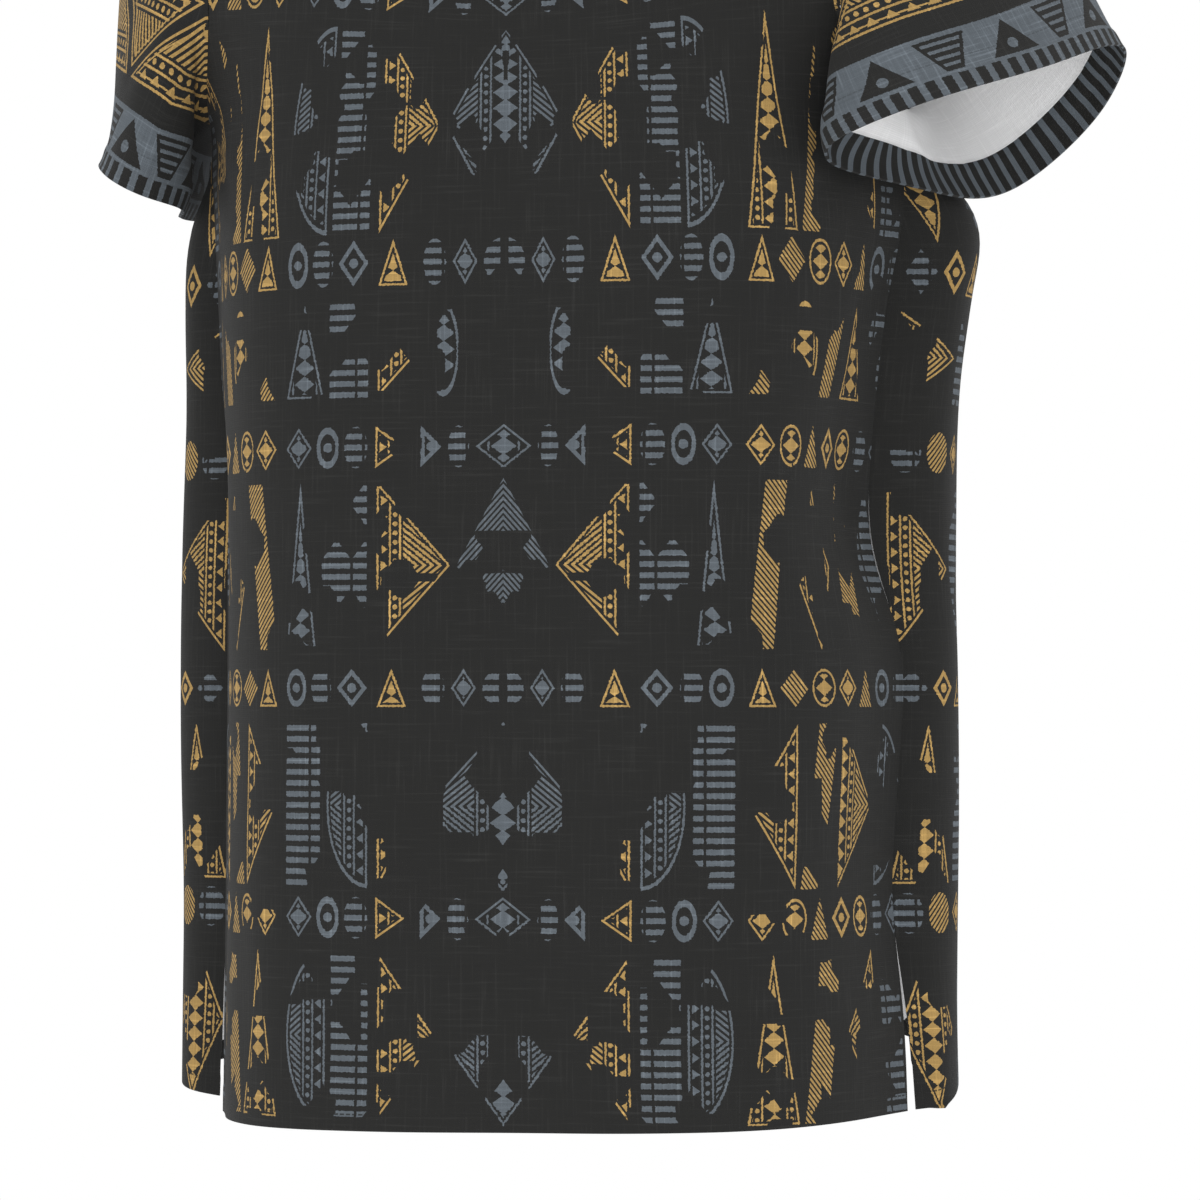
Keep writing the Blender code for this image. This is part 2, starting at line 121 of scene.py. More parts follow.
def outer_side(node, name, near, facing, turn):
    """Copy a node's mesh, merge it, and keep the outer side of its wall.
    near is a point on that side, facing the way that it faces there, and turn
    the sharpest bend on it in degrees."""
    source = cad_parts[node]
    piece = bpy.data.objects.new(name, source.data.copy())
    piece.data.name = name
    bpy.context.scene.collection.objects.link(piece)
    piece.data.materials.clear()
    edit(piece, "VERT")
    bpy.ops.mesh.select_all(action="SELECT")
    bpy.ops.mesh.remove_doubles(threshold=MERGE)
    bpy.ops.mesh.select_mode(type="FACE")
    bpy.ops.mesh.select_all(action="DESELECT")
    leave_edit()
    outward = [face for face in piece.data.polygons if face.normal.dot(Vector(facing)) > FACING]
    start = min(outward, key=lambda face: (face.center - Vector(near)).length)
    start.select = True
    piece.data.polygons.active = start.index
    edit(piece)
    bpy.ops.mesh.faces_select_linked_flat(sharpness=math.radians(turn))
    leave_edit()
    take_in_slivers(piece)
    edit(piece)
    bpy.ops.mesh.select_all(action="INVERT")
    bpy.ops.mesh.delete(type="FACE")
    bpy.ops.mesh.select_all(action="SELECT")
    bpy.ops.mesh.tris_convert_to_quads(face_threshold=math.pi, shape_threshold=math.pi,
                                       topology_influence=1.0)
    leave_edit()
    return piece


def corners_of(piece):
    """Points of a piece, and the vertex of each face corner."""
    mesh = piece.data
    points = np.empty(len(mesh.vertices) * 3)
    mesh.vertices.foreach_get("co", points)
    corner = np.empty(len(mesh.loops), int)
    mesh.loops.foreach_get("vertex_index", corner)
    return points.reshape(-1, 3), corner


def flat_places(piece):
    """The flat place of each vertex, from the UV map."""
    points, corner = corners_of(piece)
    loose = np.empty(len(corner) * 2)
    piece.data.uv_layers.active.data.foreach_get("uv", loose)
    flat = np.zeros((len(points), 2))
    flat[corner] = loose.reshape(-1, 2)
    return flat


def set_uv(piece, flat):
    """Write a flat place in metres for each vertex into the piece's UV map."""
    mesh = piece.data
    corner = corners_of(piece)[1]
    layer = mesh.uv_layers.active or mesh.uv_layers.new(name="flat")
    layer.name = "flat"
    layer.data.foreach_set("uv", np.asarray(flat)[corner].ravel())


def close_round(piece, whole):
    """Let the faces that span the start of the count run on past its end."""
    layer = piece.data.uv_layers.active.data
    for face in piece.data.polygons:
        across = [layer[i].uv[0] for i in face.loop_indices]
        if max(across) - min(across) > whole / 2.0:
            for i in face.loop_indices:
                if layer[i].uv[0] < whole / 2.0:
                    layer[i].uv[0] += whole


# Laying out a body piece
MIDDLE = 0.09             # half width of the part that sets it upright
ARM_BAND = 0.02           # half height of the part that joins upright and as cut
YOKE_RISE = 0.05          # height over which one turns into the other


def lay_out(piece):
    """Unwrap a body piece and turn it upright in metres, from its centre line and at
    the height at which each point hangs. Above the underarm it goes on as cut."""
    edit(piece)
    bpy.ops.mesh.select_all(action="SELECT")
    bpy.ops.uv.unwrap(method="MINIMUM_STRETCH", margin=0.0)
    leave_edit()
    points = corners_of(piece)[0]
    flat = flat_places(piece)
    edges = np.array([edge.vertices for edge in piece.data.edges])
    real = np.linalg.norm(points[edges[:, 0]] - points[edges[:, 1]], axis=1).sum()
    flat *= real / np.linalg.norm(flat[edges[:, 0]] - flat[edges[:, 1]], axis=1).sum()
    middle = (np.abs(points[:, 0]) < MIDDLE) & (points[:, 2] < UNDERARM)
    upright = points[middle][:, [0, 2]]
    centre = flat[middle].mean(axis=0)
    turned = np.linalg.svd((flat[middle] - centre).T @ (upright - upright.mean(axis=0)))
    flat = (flat - centre) @ (turned[0] @ turned[2]) + upright.mean(axis=0)
    rise = np.clip((points[:, 2] - UNDERARM) / YOKE_RISE, 0.0, 1.0)
    rise = rise * rise * (3.0 - 2.0 * rise)
    at_arm = np.abs(points[:, 2] - UNDERARM) < ARM_BAND
    offset = (points[at_arm, 2] - flat[at_arm, 1]).mean()
    flat[:, 1] = points[:, 2] + (flat[:, 1] + offset - points[:, 2]) * rise
    set_uv(piece, flat)


def open_edges(piece, belongs=None):
    """The open edges of a piece, as pairs of vertices in the mesh's own order. With
    belongs, only those for which belongs(a, b) is true of their ends."""
    mesh = piece.data
    uses = {}
    for face in mesh.polygons:
        for key in face.edge_keys:
            uses[key] = uses.get(key, 0) + 1
    found = []
    for edge in mesh.edges:
        a, b = (mesh.vertices[v].co for v in edge.key)
        if uses.get(edge.key) == 1 and (belongs is None or belongs(a, b)):
            found.append(edge.key)
    return found


def neighbours(edges):
    """The vertices joined to each vertex by these edges."""
    nearby = {}
    for a, b in edges:
        nearby.setdefault(a, []).append(b)
        nearby.setdefault(b, []).append(a)
    return nearby


def edge_points(piece, belongs=None):
    """Close points along the open edges of a piece, with the way along, in order
    round the edge."""
    mesh = piece.data
    nearby = neighbours(open_edges(piece, belongs))
    ends = sorted(v for v, others in nearby.items() if len(others) == 1)
    lowest = min(nearby, key=lambda v: mesh.vertices[v].co.z)
    chain = [ends[0] if ends else lowest]
    seen = set(chain)
    while True:
        onward = [v for v in nearby[chain[-1]] if v not in seen]
        if not onward:
            break
        chain.append(onward[0])
        seen.add(onward[0])
    if not ends:
        chain.append(chain[0])
    line = np.array([mesh.vertices[v].co for v in chain])
    run = np.r_[0.0, np.cumsum(np.linalg.norm(np.diff(line, axis=0), axis=1))]
    at = np.linspace(0.0, run[-1], int(run[-1] / POINT_STEP))
    return np.column_stack([np.interp(at, run, line[:, k]) for k in range(3)]), at


def along_edges(piece, edges):
    """Close points along some edges of a piece, in no order."""
    ends = np.array([[piece.data.vertices[v].co for v in edge] for edge in edges])
    steps = np.linspace(0.0, 1.0, 9)[:, None, None]
    return (ends[:, 0] * (1.0 - steps) + ends[:, 1] * steps).reshape(-1, 3)


def tube_ends(piece):
    """The two open ends of a sleeve: the points of the cuff and of the armhole."""
    mesh = piece.data
    nearby = neighbours(open_edges(piece))
    ends = []
    left = set(nearby)
    while left:
        found = {left.pop()}
        front = list(found)
        while front:
            for other in nearby[front.pop()]:
                if other not in found:
                    found.add(other)
                    front.append(other)
        left -= found
        ends.append(found)
    ends.sort(key=lambda end: sum(abs(mesh.vertices[v].co.x) for v in end) / len(end))
    places = [{tuple(mesh.vertices[v].co) for v in end} for end in ends]
    return places[-1], places[0]


def from_edge(piece, line):
    """Distance of each vertex from a line of close points, and the nearest one's number."""
    tree = KDTree(len(line))
    for i, point in enumerate(line):
        tree.insert(point, i)
    tree.balance()
    found = [tree.find(vertex.co) for vertex in piece.data.vertices]
    return np.array([f[2] for f in found]), np.array([f[1] for f in found])


def keep_value(piece, name, values):
    layer = piece.data.attributes.new(name, "FLOAT", "POINT")
    layer.data.foreach_set("value", np.asarray(values, np.float32))


def keep_corners(piece):
    """Mark the corners of a cut piece, so that subdivision leaves them square."""
    mesh = piece.data
    sharp = mesh.attributes.new("crease_vert", "FLOAT", "POINT")
    for corner, others in neighbours(open_edges(piece)).items():
        place = mesh.vertices[corner].co
        ways = [(mesh.vertices[v].co - place).normalized() for v in others]
        if len(ways) == 2 and ways[0].dot(ways[1]) > CORNER_COSINE:
            sharp.data[corner].value = 1.0


def smooth(piece, levels):
    """Round off the piece with subdivision, its corners kept."""
    rounder = piece.modifiers.new("rounder", "SUBSURF")
    rounder.levels = levels
    rounder.render_levels = levels
    rounder.boundary_smooth = "PRESERVE_CORNERS"
    rounder.uv_smooth = "PRESERVE_BOUNDARIES"
    pick(piece)
    bpy.ops.object.modifier_apply(modifier=rounder.name)


def edge_strip(piece, width):
    """A narrow ring of faces along every open edge, so that the edge can roll."""
    edit(piece)
    bpy.ops.mesh.select_all(action="SELECT")
    bpy.ops.mesh.inset(thickness=width, depth=0.0, use_boundary=True, use_even_offset=False)
    leave_edit()


def normals_of(piece):
    """Outward normal at each vertex."""
    count = len(piece.data.vertices)
    found = np.empty(count * 3)
    piece.data.vertices.foreach_get("normal", found)
    return found.reshape(-1, 3)


def move_out(piece, distance):
    """Move each vertex along its normal."""
    points = corners_of(piece)[0] + normals_of(piece) * np.asarray(distance)[:, None]
    piece.data.vertices.foreach_set("co", points.ravel())
    piece.data.update()


def seam_dip(distance):
    """Depth of the roll into a seam, at a distance from the edge."""
    near = np.clip(1.0 - distance / (2.0 * EDGE_ROLL), 0.0, 1.0)
    return -SEAM_DEPTH * near ** 2


def close_seam(piece, edges, distance):
    """Draw the seam edges out within the cloth, up to the next piece."""
    mesh = piece.data
    border = {v for edge in edges for v in edge}
    inner = {}
    for a, b in mesh.edge_keys:
        if (a in border) != (b in border):
            edge_point, other = (a, b) if a in border else (b, a)
            inner.setdefault(edge_point, []).append(other)
    moved = {}
    for v, others in inner.items():
        place = mesh.vertices[v].co
        away = sum(((place - mesh.vertices[o].co).normalized() for o in others), Vector())
        moved[v] = place + away.normalized() * distance
    for v in border - set(inner):
        place = mesh.vertices[v].co
        beside = [b if a == v else a for a, b in edges if v in (a, b)]
        away = sum(((place - mesh.vertices[o].co).normalized() for o in beside), Vector())
        if away.length > 0.5:
            moved[v] = place + away * distance
    for v, place in moved.items():
        mesh.vertices[v].co = place


def thicken(piece, hem):
    """Give the sheet its thickness on the inner side, doubled within the turned-up hem."""
    group = piece.vertex_groups.new(name="turned hem")
    kept = piece.data.attributes["hem_distance"].data
    double = [i for i in range(len(kept)) if hem and kept[i].value <= hem + HEM_SLACK]
    if double:
        group.add(double, 1.0, "REPLACE")
    wall = piece.modifiers.new("cloth", "SOLIDIFY")
    wall.thickness = HEM_CLOTH if hem else BAND_CLOTH
    wall.offset = -1.0
    wall.use_even_offset = False
    wall.material_offset = 1
    if hem:
        wall.vertex_group = group.name
        wall.thickness_vertex_group = CLOTH / HEM_CLOTH
    pick(piece)
    bpy.ops.object.modifier_apply(modifier=wall.name)
    piece.vertex_groups.clear()
    bpy.ops.object.shade_smooth_by_angle(angle=math.radians(SMOOTH_BEND))


def keep_materials(piece, materials):
    """The face of the cloth first, its wrong side second."""
    for material in materials:
        piece.data.materials.append(material)


def finish_piece(piece, node):
    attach(piece, "root")
    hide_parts(node)


# Soft creases. Place across and height on the flat piece, lean of the crease from
# upright in degrees, half length, half width, depth (inward is minus).
FRONT_CREASES = [
    ("left chest to side", 0.175, -0.300, 38, 0.085, 0.014, -0.0022),
    ("left side ridge", 0.205, -0.345, 30, 0.070, 0.012, 0.0018),
    ("left waist", 0.222, -0.455, -22, 0.080, 0.016, -0.0026),
    ("left hip", 0.205, -0.560, 12, 0.095, 0.018, 0.0018),
    ("left hem", 0.150, -0.735, 6, 0.070, 0.020, -0.0014),
    ("middle right", -0.060, -0.640, -5, 0.130, 0.026, -0.0013),
    ("middle left", 0.055, -0.700, 4, 0.110, 0.024, 0.0012),
    ("right chest", -0.150, -0.290, -28, 0.075, 0.015, -0.0018),
    ("right side", -0.205, -0.420, -10, 0.100, 0.017, 0.0016),
    ("right hem", -0.165, -0.730, -4, 0.080, 0.018, -0.0015),
    ("under left arm", 0.205, -0.275, 55, 0.045, 0.010, -0.0024),
    ("under right arm", -0.208, -0.272, -52, 0.042, 0.010, -0.0022),
    ("yoke left", 0.120, -0.130, 62, 0.060, 0.014, -0.0014),
    ("yoke right", -0.118, -0.120, -58, 0.055, 0.013, -0.0013),
]
BACK_CREASES = [
    ("left side long", 0.265, -0.480, 4, 0.160, 0.018, -0.0022),
    ("left side ridge", 0.235, -0.420, -7, 0.120, 0.016, 0.0018),
    ("left back", 0.150, -0.600, 6, 0.140, 0.022, -0.0019),
    ("middle", 0.020, -0.560, -3, 0.170, 0.026, 0.0018),
    ("right back", -0.130, -0.620, -8, 0.150, 0.021, -0.0021),
    ("right side long", -0.262, -0.470, -5, 0.150, 0.017, -0.0022),
    ("right side ridge", -0.230, -0.380, 9, 0.110, 0.015, 0.0016),
    ("under left arm", 0.250, -0.285, 48, 0.060, 0.011, -0.0026),
    ("under right arm", -0.248, -0.290, -50, 0.055, 0.011, -0.0025),
    ("left shoulder blade", 0.105, -0.200, 34, 0.080, 0.018, -0.0016),
    ("right shoulder blade", -0.110, -0.190, -30, 0.075, 0.018, -0.0015),
]
LEFT_SLEEVE_CREASES = [
    ("front drape", 0.115, 0.085, 24, 0.060, 0.012, -0.0022),
    ("front ridge", 0.150, 0.060, 15, 0.050, 0.011, 0.0016),
    ("top", 0.215, 0.100, -12, 0.060, 0.014, -0.0018),
    ("back", 0.300, 0.075, 18, 0.055, 0.012, -0.0020),
    ("under", 0.030, 0.030, 40, 0.030, 0.009, -0.0014),
]
RIGHT_SLEEVE_CREASES = [
    ("front drape", 0.090, 0.100, -20, 0.070, 0.011, -0.0022),
    ("outer ridge", 0.150, 0.120, -9, 0.060, 0.012, 0.0018),
    ("outer", 0.190, 0.090, 8, 0.075, 0.012, -0.0022),
    ("back", 0.255, 0.100, 16, 0.060, 0.012, -0.0018),
    ("under", 0.025, 0.030, -38, 0.030, 0.009, -0.0014),
]


def crease(piece, creases):
    """Press the named creases into a piece, each a soft trough or ridge."""
    flat = flat_places(piece)
    total = np.zeros(len(flat))
    for _, across, height, lean, half_length, half_width, depth in creases:
        turn = math.radians(lean)
        x = flat[:, 0] - across
        y = flat[:, 1] - height
        along = x * math.sin(turn) + y * math.cos(turn)
        beside = x * math.cos(turn) - y * math.sin(turn)
        beside = beside + 0.15 * half_width * np.sin(along / half_length * 2.2)
        taper = np.clip(1.0 - (along / half_length) ** 2, 0.0, 1.0) ** 1.5
        total += depth * taper * np.exp(-(beside / half_width) ** 2)
    move_out(piece, total)


def build_body(node, near, facing, turn, hem_turn, creases, materials):
    piece = outer_side(node, node + "_panel", near, facing, turn)
    lay_out(piece)
    edge_strip(piece, EDGE_ROLL)
    keep_corners(piece)
    smooth(piece, 2)
    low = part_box(node)[0].z + HEM_REACH
    hem = open_edges(
        piece, lambda a, b: max(a.z, b.z) < low and abs(a.z - b.z) < (a - b).length * HEM_SLOPE)
    seams = open_edges(piece, lambda a, b: min(a.z, b.z) > hem_turn)
    hem_distance = from_edge(piece, along_edges(piece, hem))[0]
    seam_distance = from_edge(piece, along_edges(piece, seams))[0]
    crease(piece, creases)
    move_out(piece, seam_dip(seam_distance))
    keep_value(piece, "hem_distance", hem_distance)
    keep_value(piece, "seam_distance", seam_distance)
    close_seam(piece, seams, SEAM_EASE)
    keep_materials(piece, materials)
    thicken(piece, BODY_HEM)
    finish_piece(piece, node)
    return piece


def round_place(piece, cuff_line, around, hole_line):
    """How far round the cuff each point of a sleeve lies, by its angle about the middle."""
    middle = cuff_line.mean(axis=0)
    axis = hole_line.mean(axis=0) - middle
    axis /= np.linalg.norm(axis)
    first = np.cross(axis, (0.0, 1.0, 0.0))
    first /= np.linalg.norm(first)
    second = np.cross(axis, first)
    points = corners_of(piece)[0]

    def angle(places):
        off = places - middle
        return np.arctan2(off @ second, off @ first)

    turn = angle(cuff_line)
    order = np.argsort(turn)
    steps = np.unwrap(around[order] / around.max() * 2.0 * np.pi)
    place = np.interp(angle(points), turn[order], steps, period=None)
    return (place / (2.0 * np.pi) % 1.0) * around.max()


def build_sleeve(node, near, facing, creases, materials):
    piece = outer_side(node, node + "_tube", near, facing, 72)
    edge_strip(piece, EDGE_ROLL)
    smooth(piece, 3)
    cuff, hole = tube_ends(piece)
    cuff_line, around = edge_points(piece, lambda a, b: tuple(a) in cuff and tuple(b) in cuff)
    cuff_distance = from_edge(piece, cuff_line)[0]
    hole_line = edge_points(piece, lambda a, b: tuple(a) in hole and tuple(b) in hole)[0]
    set_uv(piece, np.column_stack([round_place(piece, cuff_line, around, hole_line), cuff_distance]))
    close_round(piece, float(around.max()))
    hole_distance = from_edge(piece, hole_line)[0]
    seams = open_edges(piece, lambda a, b: tuple(a) in hole and tuple(b) in hole)
    crease(piece, creases)
    move_out(piece, seam_dip(hole_distance))
    keep_value(piece, "hem_distance", cuff_distance)
    keep_value(piece, "seam_distance", hole_distance)
    close_seam(piece, seams, SLEEVE_EASE)
    keep_materials(piece, materials)
    thicken(piece, CUFF_HEM)
    finish_piece(piece, node)
    return piece


def build_neckband(materials):
    piece = outer_side("neckband", "neck_binding", (0.0, 0.06, -0.002), (0.0, 0.3, 0.9), 75)
    smooth(piece, 3)
    hole = edge_points(piece)[0]
    distance, nearest = from_edge(piece, hole)
    set_uv(piece, np.column_stack([nearest * POINT_STEP, distance]))
    keep_value(piece, "hem_distance", distance)
    close_seam(piece, open_edges(piece), SEAM_EASE)
    keep_materials(piece, materials)
    thicken(piece, 0.0)
    finish_piece(piece, "neckband")
    return piece


# Inks and cloth
CHARCOAL = (0.0168, 0.0168, 0.0161)
GOLD = (0.395, 0.252, 0.086)
SLATE = (0.103, 0.120, 0.137)
INSIDE = (0.86, 0.86, 0.865)
THREAD = (0.016, 0.016, 0.015)


class Draft:
    """Draws with math nodes inside a node group, whose sockets are all numbers."""

    def __init__(self, name, inputs, outputs):
        self.tree = bpy.data.node_groups.new(name, "ShaderNodeTree")
        for side, labels in (("INPUT", inputs), ("OUTPUT", outputs)):
            for label in labels:
                self.tree.interface.new_socket(name=label, in_out=side,
                                               socket_type="NodeSocketFloat")
        self.given = self.tree.nodes.new("NodeGroupInput").outputs
        self.result = self.tree.nodes.new("NodeGroupOutput").inputs

    def join(self, value, socket):
        if isinstance(value, (int, float)):
            socket.default_value = value
        else:
            self.tree.links.new(value, socket)

    def math(self, operation, *values):
        node = self.tree.nodes.new("ShaderNodeMath")
        node.operation = operation
        for value, socket in zip(values, node.inputs):
            self.join(value, socket)
        return node.outputs[0]

    def fold(self, operation, values):
        """One operation over a row of values."""
        total = values[0]
        for value in values[1:]:
            total = self.math(operation, total, value)
        return total

    def add(self, *values):
        return self.fold("ADD", values)

    def sub(self, a, b):
        return self.math("SUBTRACT", a, b)

    def mul(self, *values):
        return self.fold("MULTIPLY", values)

    def div(self, a, b):
        return self.math("DIVIDE", a, b)

    def size(self, a):
        return self.math("ABSOLUTE", a)

    def less(self, a, b):
        return self.math("LESS_THAN", a, b)

    def more(self, a, b):
        return self.math("GREATER_THAN", a, b)

    def low(self, *values):
        return self.fold("MINIMUM", values)

    def high(self, *values):
        return self.fold("MAXIMUM", values)

    def length(self, a, b):
        return self.math("SQRT", self.add(self.mul(a, a), self.mul(b, b)))

    def inverse(self, mask):
        return self.sub(1.0, mask)

    def line(self, distance, at, width):
        """A line of that width along distance = at."""
        return self.less(self.size(self.sub(distance, at)), width / 2.0)

    def bars(self, along, period, share):
        """Bars that cover a share of each period."""
        return self.less(self.math("FRACT", self.div(along, period)), share)

    def wave(self, along, period):
        """From nought to one and back in each period."""
        half = period / 2.0 if isinstance(period, float) else self.mul(period, 0.5)
        return self.div(self.math("PINGPONG", along, half), half)

    def noise(self, x, y, detail=1.0):
        """Soft noise at a place that has already been scaled."""
        place = self.tree.nodes.new("ShaderNodeCombineXYZ")
        self.join(x, place.inputs[0])
        self.join(y, place.inputs[1])
        node = self.tree.nodes.new("ShaderNodeTexNoise")
        node.noise_dimensions = "2D"
        self.join(1.0, node.inputs["Scale"])
        self.join(detail, node.inputs["Detail"])
        self.tree.links.new(place.outputs[0], node.inputs["Vector"])
        return node.outputs[0]

    def patches(self, x, y, x_scale, y_scale):
        """Straight-sided patches, each with its own number from nought to one."""
        place = self.tree.nodes.new("ShaderNodeCombineXYZ")
        self.join(self.mul(x, x_scale), place.inputs[0])
        self.join(self.mul(y, y_scale), place.inputs[1])
        node = self.tree.nodes.new("ShaderNodeTexVoronoi")
        node.voronoi_dimensions = "2D"
        node.distance = "MANHATTAN"
        self.join(1.0, node.inputs["Scale"])
        self.tree.links.new(place.outputs[0], node.inputs["Vector"])
        parts = self.tree.nodes.new("ShaderNodeSeparateColor")
        self.tree.links.new(node.outputs["Color"], parts.inputs[0])
        return parts.outputs[0]

    def look_up(self, value, span, rows):
        """A table by nodes: the row that begins at or before value gives three numbers
        from nought to one and a fourth, in a ramp without blending."""
        ramp = self.tree.nodes.new("ShaderNodeValToRGB")
        ramp.color_ramp.interpolation = "CONSTANT"
        points = ramp.color_ramp.elements
        while len(points) > 1:
            points.remove(points[-1])
        for i, row in enumerate(rows):
            point = points[0] if i == 0 else points.new(row[0] / span)
            point.position = row[0] / span
            point.color = row[1:5]
        self.join(self.div(value, span), ramp.inputs[0])
        parts = self.tree.nodes.new("ShaderNodeSeparateColor")
        self.tree.links.new(ramp.outputs[0], parts.inputs[0])
        return (*parts.outputs, ramp.outputs[1])

    def choose(self, number, choices):
        """The value whose number it is, out of (number, value) pairs."""
        total = 0.0
        for wanted, value in choices:
            chosen = self.mul(self.math("COMPARE", number, wanted, 0.4), value)
            total = chosen if isinstance(total, float) else self.add(total, chosen)
        return total


# Ornament of a motif: sizes in metres, strips counted from its straight side or its middle
RIM = 0.0011              # line along the edge
MARGIN = 0.0023           # bare cloth between edge and strips ends here
TOOTH = (0.0062, 0.0088)  # height and spacing of the teeth
RAILS = (0.0075, 0.0131)  # two lines
RAIL = 0.0011
DOTS = (0.0103, 0.0013, 0.0050)   # middle, radius and spacing of the dots
HATCH = (0.0148, 0.0034)  # where the hatching begins, and its spacing


def ornament(d, depth, strip, rise):
    """A rim, and inside it strips: teeth, a line, dots, a line and hatching."""
    rim = d.less(depth, RIM)
    reach = d.mul(d.sub(1.0, d.wave(rise, TOOTH[1])), TOOTH[0])
    teeth = d.mul(d.less(strip, reach), d.less(strip, TOOTH[0]))
    rails = d.high(d.line(strip, RAILS[0], RAIL), d.line(strip, RAILS[1], RAIL))
    beside = d.sub(d.mul(d.math("FRACT", d.div(rise, DOTS[2])), DOTS[2]), DOTS[2] / 2.0)
    dots = d.less(d.length(beside, d.sub(strip, DOTS[0])), DOTS[1])
    slant = d.bars(d.add(rise, d.mul(strip, 0.8)), HATCH[1], 0.52)
    hatch = d.mul(d.more(strip, HATCH[0]), slant)
    return d.high(rim, d.mul(d.more(depth, MARGIN), d.high(teeth, rails, dots, hatch)))


# Motifs by number: their outlines inside a cell
SIDE, PEAK, LOZENGE, ROUND, LEAN, BLOCK, HALF, OUTWARD, BARE = range(9)
# Fillings by number
ORNATE, HATCHED, RUNGS, RINGED, SOLID = range(5)


def outline(d, shape, x, y, wide, tall):
    """How deep a point lies inside a motif, and how far along its edge."""
    half_wide = d.mul(wide, 0.5)
    half_tall = d.mul(tall, 0.5)
    across = d.sub(x, half_wide)
    up = d.sub(y, half_tall)
    side = d.size(across)
    rise = d.size(up)
    steep = d.length(d.div(1.0, wide), d.div(1.0, half_tall))
    inward = d.sub(wide, x)
    side_depth = d.div(d.sub(d.sub(1.0, d.div(inward, wide)), d.div(rise, half_tall)), steep)
    side_depth = d.low(side_depth, inward)
    outward_depth = d.div(d.sub(d.sub(1.0, d.div(x, wide)), d.div(rise, half_tall)), steep)
    peak = d.length(d.div(1.0, half_wide), d.div(1.0, tall))
    peak_depth = d.div(d.sub(d.sub(1.0, d.div(side, half_wide)), d.div(y, tall)), peak)
    peak_depth = d.low(peak_depth, y)
    both = d.length(d.div(1.0, half_wide), d.div(1.0, half_tall))
    lozenge_depth = d.div(d.sub(d.sub(1.0, d.div(side, half_wide)), d.div(rise, half_tall)), both)
    ratio = d.length(d.div(side, half_wide), d.div(rise, half_tall))
    round_depth = d.mul(d.sub(1.0, ratio), d.low(half_wide, half_tall))
    skew = d.sub(x, d.mul(y, d.div(d.mul(wide, 0.45), tall)))
    lean_depth = d.low(skew, d.sub(d.mul(wide, 0.55), skew), y, d.sub(tall, y))
    block_depth = d.low(d.sub(half_wide, side), d.sub(half_tall, rise))
    bow = d.length(d.div(x, wide), d.div(up, half_tall))
    half_depth = d.low(d.mul(d.sub(1.0, bow), d.low(wide, half_tall)), x)
    depth = d.choose(shape, [
        (SIDE, side_depth), (PEAK, peak_depth), (LOZENGE, lozenge_depth), (ROUND, round_depth),
        (LEAN, lean_depth), (BLOCK, block_depth), (HALF, half_depth), (OUTWARD, outward_depth),
        (BARE, -1.0)])
    strip = d.choose(shape, [
        (SIDE, inward), (PEAK, side), (LOZENGE, side), (ROUND, side), (LEAN, side),
        (BLOCK, side), (HALF, x), (OUTWARD, x)])
    return depth, strip, across, up, rise


HATCHING = (0.9, 0.0031, 0.55)    # slope, spacing and share of the hatching
RUNG = (0.0615, 0.0060, 0.5)      # start, spacing and share of the rungs
COLUMN = (0.0045, 0.0008)         # place and half width of the gap that splits them
EYE = (0.0022, 0.0026)            # width of the ring and radius of the dot inside it


def filling(d, fill, depth, strip, across, up, rise):
    """The pattern inside a motif."""
    inside = d.more(depth, 0.0)
    hatched = d.bars(d.add(across, d.mul(up, HATCHING[0])), *HATCHING[1:])
    column = d.more(d.size(d.add(across, COLUMN[0])), COLUMN[1])
    rungs = d.mul(d.bars(d.add(up, RUNG[0]), *RUNG[1:]), column)
    ringed = d.high(d.less(depth, EYE[0]), d.less(d.length(across, up), EYE[1]))
    return d.mul(inside, d.choose(fill, [
        (ORNATE, ornament(d, depth, strip, rise)), (HATCHED, hatched), (RUNGS, rungs),
        (RINGED, ringed), (SOLID, 1.0)]))


# Rows of the print from the hem up
# lower edge, height of the motifs, which list of motifs
ROWS = [
    (-0.797, 0.091, "tall one"),
    (-0.6985, 0.0225, "low one"),
    (-0.671, 0.089, "tall two"),
    (-0.573, 0.0205, "low two"),
    (-0.542, 0.091, "tall three"),
    (-0.4435, 0.0225, "low one"),
    (-0.405, 0.051, "middle"),
    (-0.3445, 0.0250, "low two"),
    (-0.316, 0.116, "tall one"),
    (-0.190, 0.0225, "low one"),
    (-0.160, 0.080, "tall two"),
    (-0.068, 0.0215, "low two"),
    (-0.038, 0.060, "middle"),
]
PATCHES = (62.0, 47.0)    # bare patches to a metre, across and up
CUT_SHARE = 0.46          # how much of the tall motifs the bare patches take away
LOW_CUT_SHARE = 0.06
RAGGED = (700.0, 0.0011, -0.0009)   # fineness of the inks' ragged edges, and their reach
ROWS_FROM = -0.85
ROWS_SPAN = 1.0
GAP = 0.0016              # bare cloth round each motif

